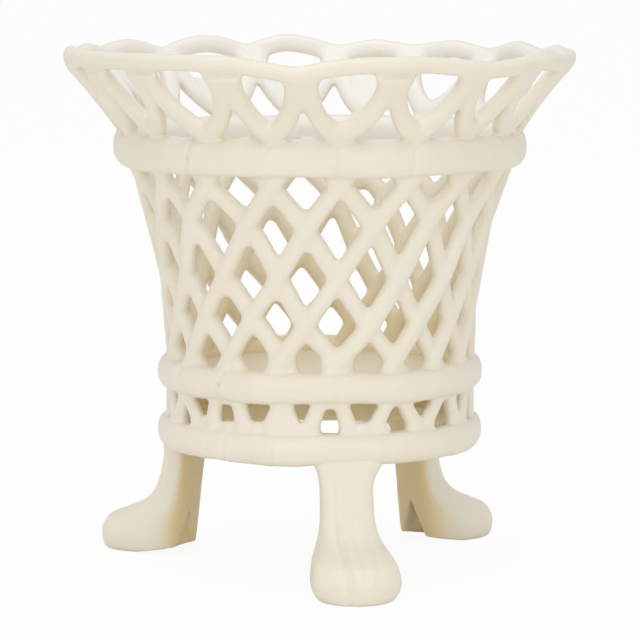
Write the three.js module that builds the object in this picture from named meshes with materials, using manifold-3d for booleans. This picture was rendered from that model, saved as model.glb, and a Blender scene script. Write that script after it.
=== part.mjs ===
// Footed planter: an openwork earthenware pot, built by hand from clay coils and strips.
// A floor plate sits in a lower band. Two layers of slanted strands rise from that band to an
// upper band and cross as a trellis. Loops of coil spread from the upper band to a wavy rim hoop.
// Below, a zigzag skirt joins the lower band to a base ring, which stands on three paw feet.
// Millimetres, +Z up, origin on the floor under the middle of the pot. The front is -Y.

import * as THREE from "three";
import { mergeVertices } from "three/addons/utils/BufferGeometryUtils.js";
import Module from "manifold-3d";

const wasm = await Module();
wasm.setup();

// Heights of the storeys, from the floor up
const FOOT_HEIGHT = 65.7;
const BASE_RING_HEIGHT = 16.9;
const SKIRT_HEIGHT = 15.4;
const LOWER_BAND_HEIGHT = 17;
const WALL_HEIGHT = 104;
const UPPER_BAND_HEIGHT = 19.8;
const FLARE_HEIGHT = 32;
const HOOP_HEIGHT = 9.6;

// Radii of the outside of the openwork, and how far the bands stand out from it
const SKIRT_RADIUS = 84.2;
const WALL_SETOUT = 0.3;
const WALL_TOP_RADIUS = 104.5;
const RIM_RADIUS = 138.6;
const RIM_TUCK = 2.4;
const BASE_RING_STANDOUT = 4.4;
const LOWER_BAND_STANDOUT = 4.1;
const UPPER_BAND_STANDOUT = 7.5;
const BAND_THICKNESS = 15;
const FLOOR_THICKNESS = 7;
const FLOOR_DROP = 3;

// Shape of the wall: it bells out by this power of the height, and the loops by the other
const WALL_BELL = 1.9;
const FLARE_BELL = 1.13;

// Clay coils and strips
const STRAND_COUNT = 18;
const STRAND_WIDTH = 9.2;
const STRAND_THICKNESS = 4.2;
const STRAND_TURN = 40;
const STRAND_SAG = 0.12;
const STRAND_END_LAP = 0.06;
const LOOP_WIDTH = 9.2;
const LOOP_THICKNESS = 7;
const LOOP_FOOT_RISE = 3.6;
const LOOP_FOOT_SWELL = 0.4;
const LOOP_SWELL_REACH = 0.3;
const LOOP_FULLNESS = 3.4;
const LOOP_ROUNDING = 0.13;
const LOOP_END = 0.01;
const LOOP_OVERLAP = 1.2;
const HOOP_THICKNESS = 7;
const SCALLOP_DEPTH = 5.4;
const SKIRT_STRAND_WIDTH = 8.2;
const SKIRT_STRAND_THICKNESS = 7;
const SEAM_DEPTH = 1.1;
const SEAM_WIDTH = 3;

// Where the pattern starts, and where the bands are joined, in degrees round from the front
const SCALLOP_AZIMUTH = 5.3;
const UPPER_SEAMS = [-38.5, 5, 26, 109, 186];
const LOWER_SEAMS = [-59, -38, 6, 118, 201];
const BASE_SEAMS = [-36, 97, 219];

// Feet: where each leg stands round the ring, and how far its toes turn from straight out
const FOOT_AZIMUTHS = { front: 9.8, right_rear: 138.5, left_rear: -111.5 };
const FOOT_TURNS = { front: 0, right_rear: -10, left_rear: -8 };
const LEG_WIDTH = 28;
const LEG_DEPTH = 15;
const LEG_FILLET = 5;
const TOE_REACH = 41;
const FOOT_WIDTH = 47;
const HEEL_SLOPE = 7;
const HEEL_LIFT = 4.5;
const SOLE_LENGTH = 27;
const FULLEST_SHARE = 0.64;
const TOE_TAPER = 0.36;
const HEEL_TAPER = 0.2;
const TOE_GROOVE_DEPTH = 2;
const LEG_SQUARENESS = 3;
const TOE_ROUNDING = 0.8;
const HEEL_SQUARENESS = 4;
const HOLLOW_WIDTH = 24;
const HOLLOW_HEIGHT = 26;
const HOLLOW_FRONT_WALL = 15;

// Fits and fineness
const SEAT_GAP = 0.3;
const CUT_OVERRUN = 5;
const RIM_LENGTHS = 6;
const SKIRT_LENGTHS = 3;
const RING_STEPS = 3 * STRAND_COUNT;
const HOOP_STEPS = 4 * STRAND_COUNT;
const STRAND_STEP_TURN = 9;
const LOOP_STEPS = 8;
const BAND_SIDES = 7;
const BAND_SQUARENESS = 2.6;
const COIL_SIDES = 6;
const COIL_SQUARENESS = 2.2;
const FOOT_SIDES = 20;
const FOOT_SLICES = 9;

// Levels that follow from the storeys
const baseRingMiddle = FOOT_HEIGHT + BASE_RING_HEIGHT / 2;
const skirtBottom = FOOT_HEIGHT + BASE_RING_HEIGHT;
const skirtTop = skirtBottom + SKIRT_HEIGHT;
const lowerBandMiddle = skirtTop + LOWER_BAND_HEIGHT / 2;
const wallBottom = skirtTop + LOWER_BAND_HEIGHT;
const wallTop = wallBottom + WALL_HEIGHT;
const upperBandMiddle = wallTop + UPPER_BAND_HEIGHT / 2;
const flareBottom = wallTop + UPPER_BAND_HEIGHT;
const flareTop = flareBottom + FLARE_HEIGHT;
const hoopMiddle = flareTop + HOOP_HEIGHT / 2;

// Radii that follow from the openwork
const wallBottomRadius = SKIRT_RADIUS + WALL_SETOUT;
const baseRingRadius = SKIRT_RADIUS + BASE_RING_STANDOUT;
const lowerBandRadius = wallBottomRadius + LOWER_BAND_STANDOUT;
const upperBandRadius = WALL_TOP_RADIUS + UPPER_BAND_STANDOUT;
const pitch = 360 / STRAND_COUNT;

// A strand is carried up in straight steps, whose flat backs leave the wall's true curve by the
// step's turn, by the strand's own width and by the bell of the wall
const strandSteps = Math.ceil((STRAND_TURN * (1 + 2 * STRAND_END_LAP)) / STRAND_STEP_TURN);
const stepDip = WALL_TOP_RADIUS * (1 - Math.cos((STRAND_STEP_TURN * Math.PI) / 360));
const edgeDip = (STRAND_WIDTH / 2) ** 2 / (2 * wallBottomRadius);
const stepShare = (1 + 2 * STRAND_END_LAP) / strandSteps;
const bellOut = WALL_TOP_RADIUS - wallBottomRadius;
const bellDip = (bellOut * WALL_BELL * (WALL_BELL - 1) * stepShare ** 2) / 8;
const layerGap = SEAT_GAP + stepDip + edgeDip + bellDip;

// The flare leans out, so its thickness measured level is more than square to its face
const flareSlope = (RIM_RADIUS - RIM_TUCK - upperBandRadius) / FLARE_HEIGHT;
const flareLean = Math.cos(Math.atan(flareSlope));

const radians = THREE.MathUtils.degToRad;

// A point at a radius, at an azimuth in degrees counted from the front towards +X, at a height.
function polar(radius, azimuth, height) {
  const angle = radians(azimuth);
  return new THREE.Vector3(radius * Math.sin(angle), -radius * Math.cos(angle), height);
}

// Outside radius of the trellis wall: it bells out as a power of the height.
function wallRadius(height) {
  const share = Math.max(0, (height - wallBottom) / WALL_HEIGHT);
  return wallBottomRadius + bellOut * share ** WALL_BELL;
}

// Outside radius of the loops between the upper band and the rim hoop.
function flareRadius(height) {
  const share = Math.max(0, (height - flareBottom) / FLARE_HEIGHT);
  return upperBandRadius + (RIM_RADIUS - RIM_TUCK - upperBandRadius) * share ** FLARE_BELL;
}

// An indexed geometry whose faces are turned outwards, whichever way they were listed.
function closedGeometry(points, faces) {
  const volume = faces.reduce((sum, [a, b, c]) => {
    return sum + points[a].dot(new THREE.Vector3().crossVectors(points[b], points[c]));
  }, 0);
  const turned = volume < 0 ? faces.map(([a, b, c]) => [a, c, b]) : faces;
  const geometry = new THREE.BufferGeometry().setFromPoints(points);
  geometry.setIndex(turned.flat());
  geometry.computeVertexNormals();
  return geometry;
}

// A skin over a row of rings of equal count. An open row is capped at both ends.
function loft(rings, isLoop = false) {
  const sides = rings[0].length;
  const points = rings.flat();
  const faces = [];
  const bays = isLoop ? rings.length : rings.length - 1;
  for (let bay = 0; bay < bays; bay++) {
    const near = bay * sides;
    const far = ((bay + 1) % rings.length) * sides;
    for (let side = 0; side < sides; side++) {
      const next = (side + 1) % sides;
      faces.push([near + side, near + next, far + next]);
      faces.push([near + side, far + next, far + side]);
    }
  }
  if (!isLoop) {
    const last = points.length - sides;
    for (let side = 1; side < sides - 1; side++) {
      faces.push([0, side + 1, side]);
      faces.push([last, last + side, last + side + 1]);
    }
  }
  return closedGeometry(points, faces);
}

// Joins and cuts are made on solids, and the result becomes a geometry again.
function solidOf(geometry) {
  const bare = new THREE.BufferGeometry();
  bare.setAttribute("position", geometry.getAttribute("position"));
  bare.setIndex(geometry.getIndex());
  const merged = mergeVertices(bare, 1e-4);
  return new wasm.Manifold(new wasm.Mesh({
    numProp: 3,
    vertProperties: new Float32Array(merged.getAttribute("position").array),
    triVerts: new Uint32Array(merged.getIndex().array),
  }));
}

function geometryOf(solid) {
  const mesh = solid.getMesh();
  const geometry = new THREE.BufferGeometry();
  geometry.setAttribute("position", new THREE.BufferAttribute(mesh.vertProperties, 3));
  geometry.setIndex(new THREE.BufferAttribute(mesh.triVerts, 1));
  geometry.computeVertexNormals();
  return geometry;
}

// A squarish oval, as pairs of (outward, along) offsets from its middle. Its first point is the
// outermost one, and the whole is stretched so that its corners reach both half sizes.
function ovalSection(halfOut, halfAlong, sides, squareness) {
  const bend = (value) => Math.sign(value) * Math.abs(value) ** (2 / squareness);
  const angles = Array.from({ length: sides }, (_, side) => (2 * Math.PI * side) / sides);
  const tallest = Math.max(...angles.map((angle) => bend(Math.sin(angle))));
  const stretch = halfAlong / tallest;
  return angles.map((angle) => [halfOut * bend(Math.cos(angle)), stretch * bend(Math.sin(angle))]);
}

// A coil is rolled nearly round, and a band is squarer.
function coilSection(thickness, width, grow = 0) {
  return ovalSection(thickness / 2 + grow, width / 2 + grow, COIL_SIDES, COIL_SQUARENESS);
}

function bandSection(thickness, height, grow) {
  return ovalSection(thickness / 2 + grow, height / 2 + grow, BAND_SIDES, BAND_SQUARENESS);
}

// A strip with one flat side and one domed side. The dome faces outwards or inwards.
function stripSection(width, thickness, facing) {
  const half = width / 2;
  const outline = [[0, -half], [0.55, -half], [1, -half * 0.45], [1, half * 0.45], [0.55, half], [0, half]];
  return outline.map(([out, across]) => [facing * out * thickness, across]);
}

// Carries a section along a route over the wall. The route gives a point and the way out of the
// wall there, and the section keeps square to the route with its first axis out of the wall.
function sweep(pointAt, outAt, section, steps, from = 0, to = 1, widthAt = () => 1) {
  const nudge = 1e-3;
  const rings = [];
  for (let step = 0; step <= steps; step++) {
    const share = from + ((to - from) * step) / steps;
    const centre = pointAt(share);
    const along = pointAt(share + nudge).sub(pointAt(share - nudge)).normalize();
    const out = outAt(share);
    out.addScaledVector(along, -out.dot(along)).normalize();
    const across = new THREE.Vector3().crossVectors(out, along);
    rings.push(section.map(([a, b]) => {
      return centre.clone().addScaledVector(out, a).addScaledVector(across, b * widthAt(share));
    }));
  }
  return loft(rings);
}

// The way out of a surface of revolution whose radius is a function of the height.
function outOfSurface(radiusAt, azimuth, height) {
  const slope = (radiusAt(height + 0.5) - radiusAt(height - 0.5));
  const out = polar(1, azimuth, 0);
  out.z = -slope;
  return out.normalize();
}

// How much a band is drawn in at a joint between two of its lengths: a V across the band.
function seamRelief(azimuth, seams, radius) {
  const nearest = Math.min(...seams.map((seam) => {
    const apart = Math.acos(Math.cos(radians(azimuth - seam)));
    return apart * radius;
  }));
  return SEAM_DEPTH * Math.max(0, 1 - nearest / (SEAM_WIDTH / 2));
}

// A rounded band: one oval carried round the pot, drawn in a little at its seams. Grown by a
// clearance, and then without seams, it is what cuts the pieces that end on it.
function band(outerRadius, height, middle, allSeams, grow) {
  const seams = grow > 0 ? [] : allSeams;
  const azimuths = Array.from({ length: RING_STEPS }, (_, step) => (360 * step) / RING_STEPS);
  const seamTurn = THREE.MathUtils.radToDeg(SEAM_WIDTH / 2 / outerRadius);
  for (const seam of seams) {
    for (const side of [-1, 0, 1]) azimuths.push((seam + side * seamTurn + 720) % 360);
  }
  azimuths.sort((a, b) => a - b);
  const centre = outerRadius - BAND_THICKNESS / 2;
  const rings = azimuths.map((azimuth) => {
    const relief = seams.length ? seamRelief(azimuth, seams, outerRadius) : 0;
    const section = bandSection(BAND_THICKNESS, height, grow - relief);
    return section.map(([out, up]) => polar(centre + out, azimuth, middle + up));
  });
  return loft(rings, true);
}

function baseRing(grow) {
  return band(baseRingRadius, BASE_RING_HEIGHT, baseRingMiddle, BASE_SEAMS, grow);
}

function lowerBand(grow) {
  return band(lowerBandRadius, LOWER_BAND_HEIGHT, lowerBandMiddle, LOWER_SEAMS, grow);
}

function upperBand(grow) {
  return band(upperBandRadius, UPPER_BAND_HEIGHT, upperBandMiddle, UPPER_SEAMS, grow);
}

// The rim hoop: an oval carried round the pot, which rises and falls once for each loop.
function rimHoop(grow) {
  const centre = RIM_RADIUS - HOOP_THICKNESS / 2;
  const rings = Array.from({ length: HOOP_STEPS }, (_, step) => {
    const azimuth = SCALLOP_AZIMUTH + (360 * step) / HOOP_STEPS;
    const wave = Math.cos(radians(STRAND_COUNT * (azimuth - SCALLOP_AZIMUTH)));
    const middle = hoopMiddle + (SCALLOP_DEPTH / 2) * wave;
    const section = coilSection(HOOP_THICKNESS, HOOP_HEIGHT, grow);
    return section.map(([out, up]) => polar(centre + out, azimuth, middle + up));
  });
  return loft(rings, true);
}

// The floor: a flat disc that fills the lower band, with its edge cut to the band's inside.
function floorPlate(bandCutter) {
  const radius = lowerBandRadius - BAND_THICKNESS / 2;
  const disc = new THREE.CylinderGeometry(radius, radius, FLOOR_THICKNESS, RING_STEPS);
  disc.rotateX(Math.PI / 2).translate(0, 0, lowerBandMiddle - FLOOR_DROP);
  return solidOf(disc).subtract(bandCutter);
}

// One slanted strand of the trellis. It climbs from the lower to the upper band while it goes
// round by STRAND_TURN degrees, a little slower at first. The outer layer leans one way with its
// dome outwards, and the inner layer leans the other way with its dome inwards.
function wallStrand(layer, cutters) {
  const middle = (height) => wallRadius(height) - STRAND_THICKNESS - layerGap / 2;
  const inset = (layer * layerGap) / 2;
  const heightAt = (share) => wallBottom + WALL_HEIGHT * (share - STRAND_SAG * share * (1 - share));
  const azimuthAt = (share) => layer * STRAND_TURN * (share - 0.5);
  const pointAt = (share) => polar(middle(heightAt(share)) + inset, azimuthAt(share), heightAt(share));
  const outAt = (share) => outOfSurface(wallRadius, azimuthAt(share), heightAt(share));
  const section = stripSection(STRAND_WIDTH, STRAND_THICKNESS, layer);
  const lap = STRAND_END_LAP;
  const strand = solidOf(sweep(pointAt, outAt, section, strandSteps, -lap, 1 + lap));
  return cutters.reduce((rest, cutter) => rest.subtract(cutter), strand);
}

// One loop of the rim zone. From its foot on the upper band its halves rise as a rounded V, and
// swing out quickly at first, until they stand beside the next loops under the hoop. The coil is
// pressed wider where it sits on the band.
function rimLoop(azimuth) {
  const halfSpan = pitch / 2 - THREE.MathUtils.radToDeg((LOOP_WIDTH - LOOP_OVERLAP) / 2 / RIM_RADIUS);
  const bottom = flareBottom + LOOP_FOOT_RISE;
  const top = hoopMiddle - SCALLOP_DEPTH / 2;
  const radiusAt = (height) => flareRadius(height) - LOOP_THICKNESS / 2 / flareLean;
  const sideOf = (share) => 2 * share - 1;
  const roundedV = (side) => Math.hypot(side, LOOP_ROUNDING) - LOOP_ROUNDING;
  const heightAt = (share) => bottom + ((top - bottom) * roundedV(sideOf(share))) / roundedV(1);
  const swing = (side) => Math.sign(side) * (1 - (1 - Math.abs(side)) ** LOOP_FULLNESS);
  const azimuthAt = (share) => azimuth + halfSpan * swing(sideOf(share));
  const pointAt = (share) => polar(radiusAt(heightAt(share)), azimuthAt(share), heightAt(share));
  const outAt = (share) => outOfSurface(flareRadius, azimuthAt(share), heightAt(share));
  const widthAt = (share) => 1 + LOOP_FOOT_SWELL * Math.exp(-((sideOf(share) / LOOP_SWELL_REACH) ** 2));
  const section = coilSection(LOOP_THICKNESS, LOOP_WIDTH);
  return solidOf(sweep(pointAt, outAt, section, LOOP_STEPS, LOOP_END, 1 - LOOP_END, widthAt));
}

// A tall wedge round the pot's axis between two azimuths, to part neighbouring lengths.
function sector(from, to, reach, height) {
  const clear = THREE.MathUtils.radToDeg(SEAT_GAP / 2 / reach);
  const azimuths = [from + clear, (from + to) / 2, to - clear];
  const corners = azimuths.map((azimuth) => polar(reach * 2, azimuth, 0));
  const rays = corners.map(({ x, y }) => new THREE.Vector2(x, y));
  const outline = new THREE.Shape([new THREE.Vector2(), ...rays]);
  const wedge = new THREE.ExtrudeGeometry(outline, { depth: height, bevelEnabled: false });
  return solidOf(wedge);
}

// Neighbouring loops that are worked from one coil, cut apart in the middle of their end posts.
function rimLoops(first, last, cutters) {
  let length = rimLoop(SCALLOP_AZIMUTH + first * pitch);
  for (let loop = first + 1; loop < last; loop++) {
    length = length.add(rimLoop(SCALLOP_AZIMUTH + loop * pitch));
  }
  const from = SCALLOP_AZIMUTH + (first - 0.5) * pitch;
  const to = SCALLOP_AZIMUTH + (last - 0.5) * pitch;
  length = length.intersect(sector(from, to, RIM_RADIUS, hoopMiddle + HOOP_HEIGHT));
  return cutters.reduce((rest, cutter) => rest.subtract(cutter), length);
}

// One leg of the zigzag under the wall, from a peak at the lower band to a foot on the base ring.
function skirtLeg(peakAzimuth, side) {
  const radius = SKIRT_RADIUS - SKIRT_STRAND_THICKNESS / 2;
  const lap = 1.5;
  const heightAt = (share) => skirtTop + lap - (SKIRT_HEIGHT + 2 * lap) * share;
  const azimuthAt = (share) => peakAzimuth + (side * share * pitch) / 2;
  const pointAt = (share) => polar(radius, azimuthAt(share), heightAt(share));
  const outAt = (share) => polar(1, azimuthAt(share), 0);
  const section = coilSection(SKIRT_STRAND_THICKNESS, SKIRT_STRAND_WIDTH);
  return solidOf(sweep(pointAt, outAt, section, 1, -0.08, 1.08));
}

// A length of the zigzag skirt, worked from one coil and parted from the next at a peak.
function skirtZigzag(first, last, cutters) {
  let length = skirtLeg(SCALLOP_AZIMUTH + first * pitch, 1);
  for (let peak = first + 1; peak <= last; peak++) {
    length = length.add(skirtLeg(SCALLOP_AZIMUTH + peak * pitch, -1));
    if (peak < last) length = length.add(skirtLeg(SCALLOP_AZIMUTH + peak * pitch, 1));
  }
  const from = SCALLOP_AZIMUTH + first * pitch;
  const to = SCALLOP_AZIMUTH + last * pitch;
  length = length.intersect(sector(from, to, SKIRT_RADIUS, wallBottom));
  return cutters.reduce((rest, cutter) => rest.subtract(cutter), length);
}

// The line down the front of a leg and over its toes, as shares of the toe's reach and of the
// foot's height, and the half width beside it as a share of the way from leg to foot width.
const frontLine = new THREE.CatmullRomCurve3([
  [0, 1.07, 0], [0.02, 0.84, 0], [0.08, 0.68, 0], [0.17, 0.54, 0.06], [0.35, 0.43, 0.26],
  [0.62, 0.35, 0.54], [0.88, 0.275, 0.82], [1, 0.15, 1], [0.99, 0.06, 0.8], [0.93, 0, 0.45],
].map((point) => new THREE.Vector3(...point)), false, "centripetal");

// One level slice of a foot: rounded in front, square at the heel and narrower at both ends, with
// its fullest width nearer the toes the more it spreads. The points beside the foremost one are
// drawn in as the grooves between three toes.
function footSlice(front, back, half, spread, height) {
  const middle = THREE.MathUtils.lerp(back, front, 0.5 + (FULLEST_SHARE - 0.5) * spread);
  return Array.from({ length: FOOT_SIDES }, (_, side) => {
    const angle = (2 * Math.PI * side) / FOOT_SIDES;
    const isFront = Math.cos(angle) > 0;
    const power = 2 / (isFront ? LEG_SQUARENESS - spread * TOE_ROUNDING : HEEL_SQUARENESS);
    const ahead = Math.sign(Math.cos(angle)) * Math.abs(Math.cos(angle)) ** power;
    const across = Math.sign(Math.sin(angle)) * Math.abs(Math.sin(angle)) ** power;
    const taper = 1 - spread * (isFront ? TOE_TAPER : HEEL_TAPER) * ahead ** 2;
    const isGroove = side === 1 || side === FOOT_SIDES - 1;
    const groove = isGroove ? TOE_GROOVE_DEPTH * spread : 0;
    const out = middle + ahead * (isFront ? front - middle : middle - back) - groove;
    return new THREE.Vector3(across * half * taper, -out, height);
  });
}

// A paw foot, worked in place for azimuth 0: level slices from the top of the leg to the sole,
// two grooves between three toes, and a pointed hollow from the back. It is turned about the
// middle of its leg before the ring above is cut out of it.
function foot(turn, cutters) {
  const legFront = baseRingRadius;
  const rings = [];
  for (let slice = 0; slice <= FOOT_SLICES; slice++) {
    const [reach, level, spread] = frontLine.getPoint(slice / FOOT_SLICES).toArray();
    const height = slice === FOOT_SLICES ? 0 : level * FOOT_HEIGHT;
    const front = legFront + reach * TOE_REACH;
    const back = legFront - LEG_DEPTH + HEEL_SLOPE * Math.max(0, 1 - level / 0.8);
    const flare = LEG_FILLET * Math.max(0, (level - 0.75) / 0.32) ** 2;
    const half = (LEG_WIDTH + (FOOT_WIDTH - LEG_WIDTH) * spread) / 2 + flare;
    rings.push(footSlice(front, back, half, spread, height));
  }
  const legMiddle = legFront - LEG_DEPTH / 2;
  const paw = solidOf(loft(rings)).subtract(footHollow(legFront)).subtract(heelRelief(legFront));
  const turned = paw.translate([0, legMiddle, 0]).rotate([0, 0, turn]).translate([0, -legMiddle, 0]);
  return cutters.reduce((rest, cutter) => rest.subtract(cutter), turned);
}

// The pointed hollow under a foot: a triangle that shrinks from the heel towards the toes.
function footHollow(legFront) {
  const start = legFront - LEG_DEPTH - CUT_OVERRUN;
  const end = legFront + TOE_REACH - HOLLOW_FRONT_WALL;
  const rings = [[start, 1], [legFront, 0.95], [end, 0.3]].map(([out, share]) => [
    new THREE.Vector3(-(HOLLOW_WIDTH / 2) * Math.sqrt(share), -out, -CUT_OVERRUN),
    new THREE.Vector3((HOLLOW_WIDTH / 2) * Math.sqrt(share), -out, -CUT_OVERRUN),
    new THREE.Vector3(0, -out, HOLLOW_HEIGHT * share),
  ]);
  return solidOf(loft(rings));
}

// The foot stands on its toes. Behind the sole its underside rises to the heel, as a wedge cut.
function heelRelief(legFront) {
  const heel = legFront - LEG_DEPTH;
  const soleEnd = legFront + TOE_REACH - SOLE_LENGTH;
  const rise = HEEL_LIFT / (soleEnd - heel);
  const rings = [heel - CUT_OVERRUN, soleEnd + CUT_OVERRUN].map((out) => {
    const top = rise * (soleEnd - out);
    return [
      new THREE.Vector3(-FOOT_WIDTH, -out, top - 2 * CUT_OVERRUN),
      new THREE.Vector3(FOOT_WIDTH, -out, top - 2 * CUT_OVERRUN),
      new THREE.Vector3(FOOT_WIDTH, -out, top),
      new THREE.Vector3(-FOOT_WIDTH, -out, top),
    ];
  });
  return solidOf(loft(rings));
}

// Every piece is the same glazed clay, with a material of its own.
const GLAZE = { color: 0xe4ddca, roughness: 0.35, metalness: 0 };

function piece(name, geometry, azimuth = 0) {
  const mesh = new THREE.Mesh(geometry, new THREE.MeshStandardMaterial(GLAZE));
  mesh.name = name;
  mesh.rotation.z = radians(azimuth);
  return mesh;
}

function numbered(name, index) {
  return `${name}_${String(index + 1).padStart(2, "0")}`;
}

function assemble() {
  const planter = new THREE.Group();
  const baseRingCutter = solidOf(baseRing(SEAT_GAP));
  const lowerBandCutter = solidOf(lowerBand(SEAT_GAP));
  const upperBandCutter = solidOf(upperBand(SEAT_GAP));
  const hoopCutter = solidOf(rimHoop(SEAT_GAP));

  planter.add(piece("base_ring", baseRing(0)));
  planter.add(piece("lower_band", lowerBand(0)));
  planter.add(piece("upper_band", upperBand(0)));
  planter.add(piece("rim_hoop", rimHoop(0)));
  planter.add(piece("floor_plate", geometryOf(floorPlate(lowerBandCutter))));

  for (const [name, azimuth] of Object.entries(FOOT_AZIMUTHS)) {
    const paw = foot(FOOT_TURNS[name], [baseRingCutter]);
    planter.add(piece(`foot_${name}`, geometryOf(paw), azimuth));
  }

  const wallCutters = [lowerBandCutter, upperBandCutter];
  const outerShape = geometryOf(wallStrand(1, wallCutters));
  const innerShape = geometryOf(wallStrand(-1, wallCutters));
  for (let strand = 0; strand < STRAND_COUNT; strand++) {
    const azimuth = SCALLOP_AZIMUTH + STRAND_TURN / 2 + strand * pitch;
    planter.add(piece(numbered("outer_strand", strand), outerShape.clone(), azimuth));
    planter.add(piece(numbered("inner_strand", strand), innerShape.clone(), azimuth));
  }

  const startOf = (length, lengths) => Math.round((length * STRAND_COUNT) / lengths);
  const rimCutters = [upperBandCutter, hoopCutter];
  for (let length = 0; length < RIM_LENGTHS; length++) {
    const [first, last] = [startOf(length, RIM_LENGTHS), startOf(length + 1, RIM_LENGTHS)];
    const solid = rimLoops(first, last, rimCutters);
    planter.add(piece(numbered("rim_loops", length), geometryOf(solid)));
  }

  const skirtCutters = [baseRingCutter, lowerBandCutter];
  for (let length = 0; length < SKIRT_LENGTHS; length++) {
    const [first, last] = [startOf(length, SKIRT_LENGTHS), startOf(length + 1, SKIRT_LENGTHS)];
    const solid = skirtZigzag(first, last, skirtCutters);
    planter.add(piece(numbered("skirt_zigzag", length), geometryOf(solid)));
  }
  return planter;
}

export default assemble();
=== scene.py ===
# A footed planter of openwork earthenware under a cream glaze, built by hand from clay coils.
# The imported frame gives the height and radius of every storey. The coils are carried along their
# paths here, fused where they touch as wet clay is, and dressed with the glaze.
import math

import bpy
import numpy as np
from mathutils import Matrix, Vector


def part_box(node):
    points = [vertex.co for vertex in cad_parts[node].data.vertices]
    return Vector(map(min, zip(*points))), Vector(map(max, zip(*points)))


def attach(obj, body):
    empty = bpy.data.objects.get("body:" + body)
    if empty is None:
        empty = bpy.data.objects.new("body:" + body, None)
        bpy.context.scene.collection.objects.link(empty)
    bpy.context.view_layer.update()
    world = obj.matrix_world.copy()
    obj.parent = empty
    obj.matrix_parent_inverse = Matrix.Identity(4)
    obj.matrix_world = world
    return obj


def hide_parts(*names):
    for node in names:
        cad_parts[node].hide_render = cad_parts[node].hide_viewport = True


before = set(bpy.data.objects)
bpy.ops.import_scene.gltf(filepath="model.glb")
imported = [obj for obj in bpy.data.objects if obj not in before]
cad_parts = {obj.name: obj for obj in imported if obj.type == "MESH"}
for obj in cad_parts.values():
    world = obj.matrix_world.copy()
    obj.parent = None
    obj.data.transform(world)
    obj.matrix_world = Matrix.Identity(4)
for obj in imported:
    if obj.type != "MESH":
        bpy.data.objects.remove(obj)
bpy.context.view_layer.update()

MM = 0.001
DEGREES_PER_RADIAN = 57.3
random = np.random.default_rng(18)


def storey(node):
    """Lowest level, highest level and outer radius of a round node, in millimetres."""
    low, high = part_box(node)
    return low[2] / MM, high[2] / MM, (high[0] - low[0]) / 2 / MM


# Storeys from the frame, in millimetres
base_low, base_high, base_radius = storey("base_ring")
lower_low, lower_high, lower_radius = storey("lower_band")
upper_low, upper_high, upper_radius = storey("upper_band")
hoop_low, _, rim_radius = storey("rim_hoop")
floor_low, floor_high, _ = storey("floor_plate")

# All sizes of the clay and the glaze are in millimetres, and all angles in degrees. An azimuth runs
# from the front towards +X, so that 90 is the right side and 180 the back.

# The section of a hand-rolled coil
COIL_SIDES = 20
COIL_SQUARENESS = 2.3

# The bands and the floor between them. A seed sets how a band strays from true. The core that
# other coils end on lies this far under a band's surface.
BAND_THICKNESS = 15.0
BAND_SQUARENESS = 2.5
BAND_STRAY = 0.35
CORE_SIDE_INSET = 0.6
CORE_TOP_INSET = 0.3
BASE_SEED = 11
LOWER_SEED = 21
UPPER_SEED = 31
FLOOR_LAP = 2.0

# Whole waves round a band in which its size and level stray, as patted clay does
BAND_WAVES = (3, 5, 8, 13, 19, 27, 38)

# Joints between the lengths of a band: azimuth, depth of the groove, and how far it slants
UPPER_SEAMS = (
    (-38.5, 1.7, 0.3), (5, 0.8, 0), (26, 0.6, 0.1), (-16, 0.4, 0.9), (109, 0.9, 0), (186, 0.9, 0.1),
)
LOWER_SEAMS = ((-59, 0.7, 0), (-38, 2.0, 0.4), (6, 0.7, 0), (118, 0.9, 0), (201, 0.8, 0.1))
BASE_SEAMS = ((-44, 0.4, 0), (-36, 0.6, 0.1), (-17, 0.4, 0), (97, 0.8, 0), (219, 0.8, 0))
SEAM_WIDTH = 1.1
SEAM_SLANT = 4

# The trellis. A strand's middle lies a layer step out of or into the wall, and its ends run on
# inside the bands, by a lap in height and a few degrees round.
WALL_FOOT_RADIUS = 84.5
WALL_HEAD_RADIUS = 104.5
WALL_BELL = 1.9
STRAND_COUNT = 18
STRAND_WIDTH = 10.3
STRAND_DEPTH = 8.6
STRAND_STEPS = 64
STRAND_LAP = 7
FOOT_RUN = 6
HEAD_RUN = 5
LAYER_STEP = 1.0
WEB_WIDTH = 11.0

# The crossings stand in columns, on five levels, in every second column of a level. A web of clay
# fills the corners above and below each, to half this height. They stray a little from even.
FIRST_LOOP = 5.3
COLUMN_COUNT = 36
COLUMN_STEP = 10
CROSSING_LEVELS = (121.0, 141.0, 164.6, 192.4, 214.6)
CROSSING_WEBS = (7.0, 8.6, 10.0, 11.5, 9.0)
TURN_STRAY = 0.6
LEVEL_STRAY = 1.6

# Crossings that the photograph shows: row of the level from below, azimuth, height, and half the
# height of the clay web at the crossing
SEEN_CROSSINGS = (
    (0, -35.8, 121.7, 7), (0, -14.4, 121.8, 8), (0, 6.6, 120.0, 6), (0, 29.1, 120.2, 6),
    (0, 49.0, 120.5, 6),
    (1, -47.3, 141.7, 9), (1, -25.6, 143.5, 8), (1, -5.4, 139.6, 10), (1, 18.3, 139.2, 8),
    (1, 39.2, 140.0, 9),
    (2, -36.0, 165.0, 12), (2, -14.9, 165.0, 13), (2, 6.2, 164.7, 8), (2, 28.8, 164.1, 8),
    (2, 50.3, 163.8, 10),
    (3, -24.3, 192.8, 11), (3, -4.6, 190.9, 12), (3, 17.8, 192.6, 11), (3, 38.5, 194.8, 12),
    (4, -36.7, 213.7, 9), (4, -14.9, 213.6, 9), (4, 6.1, 215.9, 7), (4, 27.6, 215.0, 7),
    (4, 48.0, 214.5, 8), (4, 147.0, 211.5, 13), (4, 166.0, 209.5, 14),
)

# Webs of the lowest crossings that are broader than the rest: width by column
WIDE_WEBS = {34: 17.0, 0: 19.0, 30: 14.0}

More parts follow.
